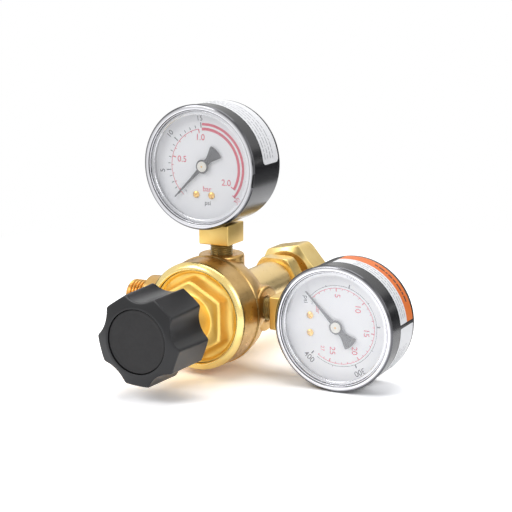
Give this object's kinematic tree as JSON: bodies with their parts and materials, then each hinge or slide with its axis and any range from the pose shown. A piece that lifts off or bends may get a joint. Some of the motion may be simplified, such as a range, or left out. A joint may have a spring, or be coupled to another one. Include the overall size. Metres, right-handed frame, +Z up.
{
  "type": "gas pressure regulator",
  "caption": "Single-stage gas pressure regulator with a brass body, a lobed black adjusting knob, dial gauges on top and at the side, a hexagonal inlet nut and a threaded hose outlet.",
  "frame": {"origin": "centre of the inlet nut's open mouth, on the main axis", "axes": "+Y along the main axis towards the cylinder valve, +Z up towards the low pressure gauge, +X towards the high pressure gauge"},
  "size_m": [0.1347, 0.1449, 0.115],
  "materials": {
    "brass": "satin",
    "bright_brass": "polished",
    "bronze": "satin",
    "steel": "satin",
    "bezel_metal": "polished",
    "black_steel": "semi-gloss",
    "black_plastic": "satin",
    "rubber": "matte",
    "white_enamel": "satin",
    "pointer_black": "satin",
    "clear_plastic": "polished"
  },
  "bodies": {
    "housing": {"body": "brass", "bonnet": "bright_brass", "inlet_nipple": "brass", "inlet_filter": "bronze", "nozzle": "bright_brass", "slip_ring": "steel", "diaphragm": "rubber", "valve_spring": "steel", "main_spring": "steel", "low_case": "black_steel", "low_socket": "brass", "low_bezel": "bezel_metal", "low_lens": "clear_plastic", "low_spacer_ring": "black_plastic", "low_dial": "white_enamel", "low_dial_screw_left": "bright_brass", "low_dial_screw_right": "bright_brass", "low_movement_frame": "bright_brass", "low_case_screw_left": "steel", "low_case_screw_right": "steel", "low_relief_plug": "rubber", "low_bourdon_tube": "bronze", "high_case": "black_steel", "high_socket": "brass", "high_bezel": "bezel_metal", "high_lens": "clear_plastic", "high_spacer_ring": "black_plastic", "high_dial": "white_enamel", "high_dial_screw_left": "bright_brass", "high_dial_screw_right": "bright_brass", "high_movement_frame": "bright_brass", "high_case_screw_left": "steel", "high_case_screw_right": "steel", "high_relief_plug": "rubber", "high_bourdon_tube": "bronze"},
    "nut": {"inlet_nut": "brass"},
    "diaphragm_stack": {"diaphragm_plate": "brass", "diaphragm_nut": "brass"},
    "valve": {"valve_stem": "brass", "valve_seat": "rubber"},
    "button": {"spring_button": "steel"},
    "knob": {"knob": "black_plastic", "knob_cap": "black_plastic", "adjusting_screw": "steel"},
    "low_pointer": {"low_pointer": "pointer_black", "low_pointer_cap": "bright_brass", "low_pinion": "steel"},
    "low_sector": {"low_sector_gear": "bright_brass"},
    "low_link": {"low_link": "steel", "low_tube_tip": "bright_brass"},
    "high_pointer": {"high_pointer": "pointer_black", "high_pointer_cap": "bright_brass", "high_pinion": "steel"},
    "high_sector": {"high_sector_gear": "bright_brass"},
    "high_link": {"high_link": "steel", "high_tube_tip": "bright_brass"}
  },
  "joints": [
    {"name": "nut_spin", "type": "hinge", "parent": "housing", "child": "nut", "pos_m": [0, 0, 0], "axis": [0, 1, 0], "continuous": true},
    {"name": "button_slide", "type": "slide", "parent": "housing", "child": "button", "axis": [0, 1, 0], "range_m": [0, 0.00794], "deforming": ["main_spring"]},
    {"name": "knob_turn", "type": "hinge", "parent": "button", "child": "knob", "pos_m": [0, -0.13, 0], "axis": [0, 1, 0], "range_deg": [0, 1800]},
    {"name": "diaphragm_move", "type": "slide", "parent": "housing", "child": "diaphragm_stack", "axis": [0, 1, 0], "range_m": [0, 0.0008], "stiffness_N_per_m": 800, "deforming": ["diaphragm"]},
    {"name": "valve_move", "type": "slide", "parent": "housing", "child": "valve", "axis": [0, 1, 0], "range_m": [0, 0.0008], "stiffness_N_per_m": 500, "deforming": ["valve_spring"]},
    {"name": "low_pointer_turn", "type": "hinge", "parent": "housing", "child": "low_pointer", "pos_m": [0, -0.075, 0.06294], "axis": [0, 1, 0], "range_deg": [0, 270]},
    {"name": "low_sector_turn", "type": "hinge", "parent": "housing", "child": "low_sector", "pos_m": [0.00438, -0.075, 0.05536], "axis": [0, 1, 0], "range_deg": [-45, 0]},
    {"name": "low_link_slide", "type": "slide", "parent": "housing", "child": "low_link", "axis": [0.5586, 0, 0.8295], "range_m": [0, 0.00383], "stiffness_N_per_m": 500, "deforming": ["low_bourdon_tube"]},
    {"name": "high_pointer_turn", "type": "hinge", "parent": "housing", "child": "high_pointer", "pos_m": [0.06244, -0.076, 0.0012], "axis": [0, 0.9998, 0.0175], "range_deg": [0, 270]},
    {"name": "high_sector_turn", "type": "hinge", "parent": "housing", "child": "high_sector", "pos_m": [0.05486, -0.07592, -0.00317], "axis": [0, 0.9998, 0.0175], "range_deg": [-45, 0]},
    {"name": "high_link_slide", "type": "slide", "parent": "housing", "child": "high_link", "axis": [0.8295, 0.0097, -0.5585], "range_m": [0, 0.00383], "stiffness_N_per_m": 500, "deforming": ["high_bourdon_tube"]}
  ],
  "couplings": [
    {"joint": "knob_turn", "follows": "button_slide", "rad_per_m": 3957.9},
    {"joint": "valve_move", "follows": "diaphragm_move", "ratio": 1},
    {"joint": "low_pointer_turn", "follows": "low_link_slide", "rad_per_m": 1231.4},
    {"joint": "low_sector_turn", "follows": "low_link_slide", "rad_per_m": -205.23},
    {"joint": "high_pointer_turn", "follows": "high_link_slide", "rad_per_m": 1231.4},
    {"joint": "high_sector_turn", "follows": "high_link_slide", "rad_per_m": -205.23}
  ]
}
